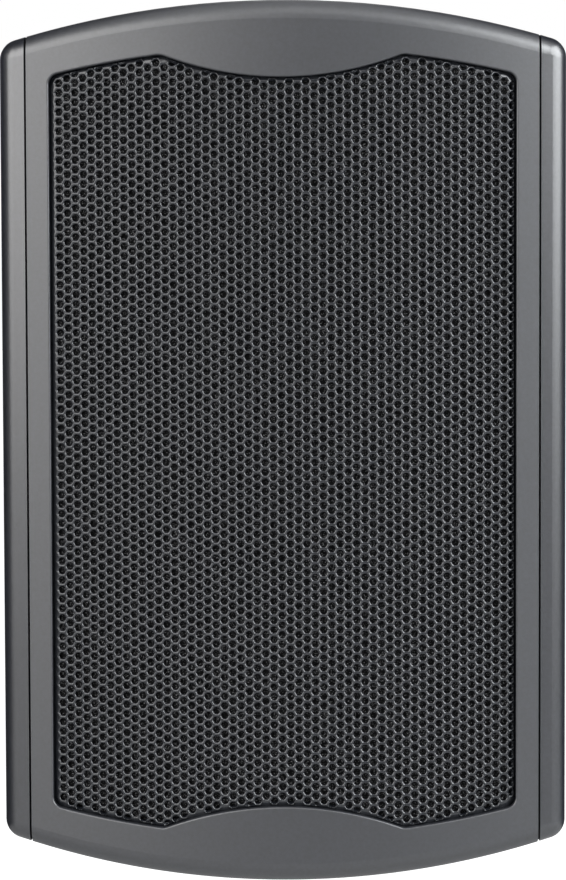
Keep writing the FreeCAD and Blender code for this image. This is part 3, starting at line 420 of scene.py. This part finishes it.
class Finish:
    """A procedural material: one shader, and textures that vary its colour, gloss and relief."""

    def __init__(self, name, metallic=0.0, shine=0.5, ior=1.5):
        self.material = bpy.data.materials.new(name)
        self.material.use_nodes = True
        self.nodes = self.material.node_tree.nodes
        self.links = self.material.node_tree.links
        self.shader = self.nodes["Principled BSDF"]
        self.shader.inputs["Metallic"].default_value = metallic
        self.shader.inputs["Specular IOR Level"].default_value = shine
        self.shader.inputs["IOR"].default_value = ior
        self.place = self.nodes.new("ShaderNodeTexCoord").outputs["Object"]

    def stretched(self, stretch):
        mapping = self.nodes.new("ShaderNodeMapping")
        mapping.inputs["Scale"].default_value = stretch
        self.links.new(self.place, mapping.inputs["Vector"])
        return mapping.outputs["Vector"]

    def noise(self, size, detail=2.0, stretch=(1, 1, 1)):
        node = self.nodes.new("ShaderNodeTexNoise")
        node.inputs["Scale"].default_value = 1 / size
        node.inputs["Detail"].default_value = detail
        self.links.new(self.stretched(stretch), node.inputs["Vector"])
        return node.outputs["Fac"]

    def waves(self, size, direction, distortion=0.0, kind="BANDS"):
        node = self.nodes.new("ShaderNodeTexWave")
        node.wave_type = kind
        if kind == "BANDS":
            node.bands_direction = direction
        else:
            node.rings_direction = direction
        # At a scale of 1 the texture's waves are pi / 10 long
        node.inputs["Scale"].default_value = math.pi / (10 * size)
        node.inputs["Distortion"].default_value = distortion
        self.links.new(self.place, node.inputs["Vector"])
        return node.outputs["Fac"]

    def mixed(self, first, second, operation="MULTIPLY"):
        node = self.nodes.new("ShaderNodeMath")
        node.operation = operation
        self.links.new(first, node.inputs[0])
        self.links.new(second, node.inputs[1])
        return node.outputs["Value"]

    def colours(self, factor, dark, light, low=0.3, high=0.7):
        ramp = self.nodes.new("ShaderNodeValToRGB")
        ramp.color_ramp.elements[0].position = low
        ramp.color_ramp.elements[0].color = dark
        ramp.color_ramp.elements[1].position = high
        ramp.color_ramp.elements[1].color = light
        self.links.new(factor, ramp.inputs["Fac"])
        self.links.new(ramp.outputs["Color"], self.shader.inputs["Base Color"])
        return self

    def gloss(self, factor, low, high):
        spread = self.nodes.new("ShaderNodeMapRange")
        spread.inputs["To Min"].default_value = low
        spread.inputs["To Max"].default_value = high
        self.links.new(factor, spread.inputs["Value"])
        self.links.new(spread.outputs["Result"], self.shader.inputs["Roughness"])
        return self

    def relief(self, height, depth):
        bump = self.nodes.new("ShaderNodeBump")
        bump.inputs["Distance"].default_value = depth
        bump.inputs["Strength"].default_value = 1.0
        self.links.new(height, bump.inputs["Height"])
        self.links.new(bump.outputs["Normal"], self.shader.inputs["Normal"])
        return self


def moulded(name, dark, light, rough_low, rough_high, mottle=6 * mm, **shiny):
    """Moulded plastic: a fine even grain and a faint unevenness in colour and gloss."""
    made = Finish(name, **shiny)
    made.colours(made.noise(mottle, detail=4.0), dark, light)
    made.gloss(made.noise(1.5 * mm, detail=3.0), rough_low, rough_high)
    grain = made.mixed(made.noise(0.45 * mm, detail=3.0), made.noise(1.8 * mm), "ADD")
    made.relief(grain, depth=0.014 * mm)
    return made.material


def powder_coat(name, dark, light, rough_low, rough_high, **shiny):
    """Baked powder paint on steel: a soft orange-peel skin."""
    made = Finish(name, **shiny)
    made.colours(made.noise(2.5 * mm, detail=3.0), dark, light)
    made.gloss(made.noise(0.8 * mm), rough_low, rough_high)
    made.relief(made.noise(0.35 * mm), depth=0.01 * mm)
    return made.material


def open_cell_foam(name):
    """Black open-cell foam whose strands are painted light as glints, and whose cells are painted near
    black as shade.
    """
    made = Finish(name, shine=0.1)
    strand_glint_cell_shade = made.noise(0.42 * mm)
    # Painted light: the light tone is a painted glint on the strands, and the near-black tone is painted
    # shade in the cells
    made.colours(strand_glint_cell_shade, tone(4, 4, 5), tone(150, 150, 152), low=0.57, high=0.74)
    made.gloss(made.noise(0.5 * mm), low=0.5, high=0.9)
    made.relief(strand_glint_cell_shade, depth=0.25 * mm)
    return made.material


def turned_metal(name, dark, light, rough_low, rough_high, size=0.25 * mm):
    """Machined or plated metal with fine marks round an axis that points to the front."""
    made = Finish(name, metallic=1.0)
    made.colours(made.noise(3 * mm, detail=3.0), dark, light)
    made.gloss(made.noise(1.0 * mm, detail=3.0), rough_low, rough_high)
    made.relief(made.waves(size, "Y", distortion=3.0, kind="RINGS"), depth=0.004 * mm)
    return made.material


def wire_winding(name, dark, light, size=0.45 * mm):
    """Enamelled wire, wound in close turns along the depth."""
    made = Finish(name, metallic=1.0)
    turns = made.waves(size, "Y")
    made.colours(turns, dark, light, low=0.1, high=0.8)
    made.gloss(made.noise(1.0 * mm), low=0.22, high=0.4)
    made.relief(turns, depth=0.1 * mm)
    return made.material


def woven(name, dark, light, size, rough_low=0.7, rough_high=0.95):
    """Coated cloth: threads that cross."""
    made = Finish(name)
    weave = made.mixed(made.waves(size, "X", distortion=1.0), made.waves(size, "Z", distortion=1.0))
    made.colours(weave, dark, light, low=0.1, high=0.8)
    made.gloss(made.noise(2 * mm), rough_low, rough_high)
    made.relief(weave, depth=0.08 * mm)
    return made.material


def fibrous(name, dark, light, size, depth, stretch=(1, 1, 1)):
    """Paper, felt or cement: a matte body with fibres or grains."""
    made = Finish(name)
    fibres = made.noise(size, detail=6.0, stretch=stretch)
    made.colours(fibres, dark, light)
    made.gloss(made.noise(3 * mm), low=0.75, high=0.95)
    made.relief(fibres, depth)
    return made.material


def finishes():
    return {
        "housing_plastic": moulded("housing_plastic", tone(12, 14, 20), tone(27, 29, 36),
                                   0.30, 0.35, 1.2 * mm, shine=0.9, ior=1.6),
        "bezel_plastic": moulded("bezel_plastic", tone(12, 14, 20), tone(27, 29, 36),
                                 0.40, 0.45, 1.2 * mm, shine=0.9, ior=1.6),
        "grille_paint": powder_coat("grille_paint", tone(25, 27, 31), tone(30, 32, 37),
                                    0.17, 0.22, shine=0.46, ior=1.6),
        "foam": open_cell_foam("foam"),
        "black_rubber": moulded("black_rubber", tone(28, 28, 29), tone(34, 34, 35), 0.62, 0.8),
        "black_plastic": moulded("black_plastic", tone(30, 30, 31), tone(36, 36, 37), 0.42, 0.55),
        "red_plastic": moulded("red_plastic", tone(160, 22, 24), tone(176, 28, 28), 0.25, 0.34),
        "black_gloss": moulded("black_gloss", tone(24, 24, 25), tone(29, 29, 30), 0.22, 0.3),
        "zinc_steel": turned_metal("zinc_steel", tone(178, 180, 184), tone(200, 201, 204), 0.25, 0.38),
        "black_steel": powder_coat("black_steel", tone(34, 34, 36), tone(42, 42, 44), 0.35, 0.5),
        "plain_steel": turned_metal("plain_steel", tone(158, 160, 164), tone(184, 186, 189), 0.28, 0.42),
        "brass": turned_metal("brass", tone(196, 160, 88), tone(216, 182, 108), 0.2, 0.32),
        "copper_wire": wire_winding("copper_wire", tone(150, 84, 46), tone(214, 138, 86)),
        "aluminium": turned_metal("aluminium", tone(200, 202, 206), tone(220, 222, 225), 0.28, 0.4),
        "cone_paper": fibrous("cone_paper", tone(44, 44, 46), tone(62, 62, 64), 1.2 * mm, 0.06 * mm),
        "cap_cloth": woven("cap_cloth", tone(30, 30, 32), tone(48, 48, 50), 0.5 * mm),
        "spider_cloth": woven("spider_cloth", tone(156, 124, 72), tone(196, 164, 106), 0.8 * mm),
        "dome_cloth": woven("dome_cloth", tone(26, 26, 29), tone(42, 42, 46), 0.3 * mm, 0.35, 0.5),
        "ferrite": fibrous("ferrite", tone(58, 58, 60), tone(70, 70, 73), 0.6 * mm, 0.03 * mm),
        "board": fibrous("board", tone(134, 108, 64), tone(152, 124, 76), 2 * mm, 0.01 * mm, (1, 1, 4)),
        "bobbin_plastic": moulded("bobbin_plastic", tone(200, 196, 182), tone(212, 208, 196), 0.4, 0.5),
        "capacitor_film": moulded("capacitor_film", tone(196, 164, 48), tone(210, 180, 60), 0.25, 0.35),
        "cement": fibrous("cement", tone(216, 214, 208), tone(230, 228, 222), 0.8 * mm, 0.04 * mm),
        "felt": fibrous("felt", tone(140, 140, 142), tone(176, 176, 178), 0.5 * mm, 0.3 * mm, (1, 4, 1)),
    }


# Studio

def floor():
    """A pale floor that glows to the camera, so that it runs into the backdrop."""
    bpy.ops.mesh.primitive_plane_add(size=floor_size, location=(0, 0, cad_box[0].z - floor_drop))
    made = bpy.context.object
    made.name = "floor"
    finish = Finish("floor_paint")
    finish.colours(finish.noise(0.4, detail=3.0), tone(202, 202, 202), tone(210, 210, 210))
    finish.gloss(finish.noise(0.1, detail=3.0), low=0.8, high=0.95)
    shine = finish.nodes.new("ShaderNodeEmission")
    seen = finish.nodes.new("ShaderNodeMixShader")
    added = finish.nodes.new("ShaderNodeAddShader")
    path = finish.nodes.new("ShaderNodeLightPath")
    rays = finish.mixed(path.outputs["Is Camera Ray"], path.outputs["Is Glossy Ray"], "MAXIMUM")
    rays = finish.mixed(rays, path.outputs["Is Transmission Ray"], "MAXIMUM")
    strength = finish.nodes.new("ShaderNodeMapRange")
    strength.inputs["To Min"].default_value = floor_glow_mirrored
    strength.inputs["To Max"].default_value = floor_glow_seen
    finish.links.new(path.outputs["Is Camera Ray"], strength.inputs["Value"])
    finish.links.new(strength.outputs["Result"], shine.inputs["Strength"])
    output = finish.nodes["Material Output"]
    finish.links.new(finish.shader.outputs["BSDF"], added.inputs[0])
    finish.links.new(shine.outputs["Emission"], added.inputs[1])
    finish.links.new(rays, seen.inputs["Fac"])
    finish.links.new(finish.shader.outputs["BSDF"], seen.inputs[1])
    finish.links.new(added.outputs["Shader"], seen.inputs[2])
    finish.links.new(seen.outputs["Shader"], output.inputs["Surface"])
    made.data.materials.append(finish.material)


def backdrop():
    """White where it is seen or mirrored, and a dim even fill as a light."""
    world = bpy.data.worlds.new("studio")
    bpy.context.scene.world = world
    world.use_nodes = True
    nodes = world.node_tree.nodes
    links = world.node_tree.links
    fill = nodes["Background"]
    fill.inputs["Color"].default_value = fill_colour
    fill.inputs["Strength"].default_value = fill_strength
    white = nodes.new("ShaderNodeBackground")
    white.inputs["Color"].default_value = white_colour
    white.inputs["Strength"].default_value = white_strength
    path = nodes.new("ShaderNodeLightPath")
    either = nodes.new("ShaderNodeMath")
    either.operation = "MAXIMUM"
    links.new(path.outputs["Is Camera Ray"], either.inputs[0])
    links.new(path.outputs["Is Glossy Ray"], either.inputs[1])
    any_seen = nodes.new("ShaderNodeMath")
    any_seen.operation = "MAXIMUM"
    links.new(either.outputs["Value"], any_seen.inputs[0])
    links.new(path.outputs["Is Transmission Ray"], any_seen.inputs[1])
    mix = nodes.new("ShaderNodeMixShader")
    links.new(any_seen.outputs["Value"], mix.inputs["Fac"])
    links.new(fill.outputs["Background"], mix.inputs[1])
    links.new(white.outputs["Background"], mix.inputs[2])
    links.new(mix.outputs["Shader"], nodes["World Output"].inputs["Surface"])


def looking(place, target, roll=0.0):
    """A matrix at place whose -Z axis points at the target, turned about that axis by roll."""
    back = (Vector(place) - Vector(target)).normalized()
    right = Vector((0, 0, 1)).cross(back).normalized()
    up = back.cross(right)
    turned_right = right * math.cos(roll) - up * math.sin(roll)
    turned_up = up * math.cos(roll) + right * math.sin(roll)
    rotation = Matrix((turned_right, turned_up, back)).transposed()
    return Matrix.Translation(place) @ rotation.to_4x4()


def direction(turn, rise):
    """Towards a place round the object, turned from the front to the right and raised above level."""
    return Vector((math.sin(turn) * math.cos(rise), -math.cos(turn) * math.cos(rise), math.sin(rise)))


def softbox(name, turn, rise, distance, width, height, brightness, colour):
    """A rectangular lamp that points at the front, with its turn and rise in degrees."""
    lamp = bpy.data.lights.new(name, "AREA")
    lamp.color = colour
    lamp.shape = "RECTANGLE"
    lamp.size = width
    lamp.size_y = height
    lamp.energy = brightness * math.pi * width * height
    made = bpy.data.objects.new(name, lamp)
    bpy.context.scene.collection.objects.link(made)
    target = Vector((0, front_y, middle_z))
    place = target + direction(math.radians(turn), math.radians(rise)) * distance
    made.matrix_world = looking(place, target)


def flag(name, turn_from, turn_to, rise_from, rise_to, distance):
    """A black card round the object, with angles in degrees, which shows only in its reflections."""
    def corner(turn, rise):
        upright = distance * math.tan(math.radians(rise))
        level = direction(math.radians(turn), 0) * distance
        return Vector((0, front_y, middle_z)) + level + Vector((0, 0, upright))

    corners = [corner(turn_from, rise_from), corner(turn_to, rise_from),
               corner(turn_to, rise_to), corner(turn_from, rise_to)]
    made = new_object(name, corners, [(0, 1, 2, 3)])
    paint = Finish(name)
    paint.colours(paint.noise(0.1, detail=3.0), tone(18, 18, 18), tone(24, 24, 24))
    paint.gloss(paint.noise(0.1, detail=3.0), low=0.9, high=1.0)
    made.data.materials.append(paint.material)
    made.visible_camera = False
    made.visible_diffuse = False
    made.visible_shadow = False
    made.visible_transmission = False


def camera():
    """The camera, moved across its view until the crown of the front lies at its pixel."""
    lens = bpy.data.cameras.new("camera")
    lens.sensor_width = sensor_size
    lens.lens = pixels_per_metre * camera_distance / image_height * sensor_size
    made = bpy.data.objects.new("camera", lens)
    bpy.context.scene.collection.objects.link(made)
    crown = Vector((0, front_y, middle_z))
    place = crown + direction(camera_turn, camera_rise) * camera_distance
    straight = looking(place, crown)
    right = straight.col[0].to_3d()
    up = straight.col[1].to_3d()
    aim = right * (image_width / 2 - crown_pixel_x) + up * (crown_pixel_y - image_height / 2)
    aim /= pixels_per_metre
    made.matrix_world = looking(place + aim, crown + aim, camera_roll)
    bpy.context.scene.camera = made


paints = finishes()
finer = {"front_bezel": "bezel_plastic"}
for node, shape in frame["nodes"].items():
    shape.data.materials.clear()
    shape.data.materials.append(paints.get(finer.get(node), paints[slots[node]]))

grille = perforated_grille()
foam = foam_sheet()
spider = corrugated_spider()
for piece, node in ((grille, "grille"), (foam, "grille_foam"), (spider, "woofer_spider")):
    piece.data.materials.append(paints[slots[node]])
    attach(piece, "cabinet")
    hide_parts(node)
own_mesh(spider)

floor()
backdrop()
flag("flag_left", turn_from=-70, turn_to=-172, rise_from=-60, rise_to=60, distance=1.2)
flag("flag_right", turn_from=100, turn_to=172, rise_from=-60, rise_to=60, distance=1.2)
flag("flag_front", turn_from=-8, turn_to=12, rise_from=-8, rise_to=40, distance=2.6)
softbox("key_left", turn=-49, rise=21, distance=1.8, width=2.15, height=1.45, brightness=4.0,
        colour=(1.0, 0.99, 0.98))
softbox("fill_right", turn=66, rise=26, distance=1.8, width=1.72, height=1.5, brightness=8.3,
        colour=(0.95, 0.98, 1.0))
softbox("top", turn=0, rise=58, distance=1.7, width=0.45, height=1.1, brightness=1.4,
        colour=(1.0, 1.0, 1.0))
camera()
bpy.context.scene.view_settings.view_transform = "Standard"
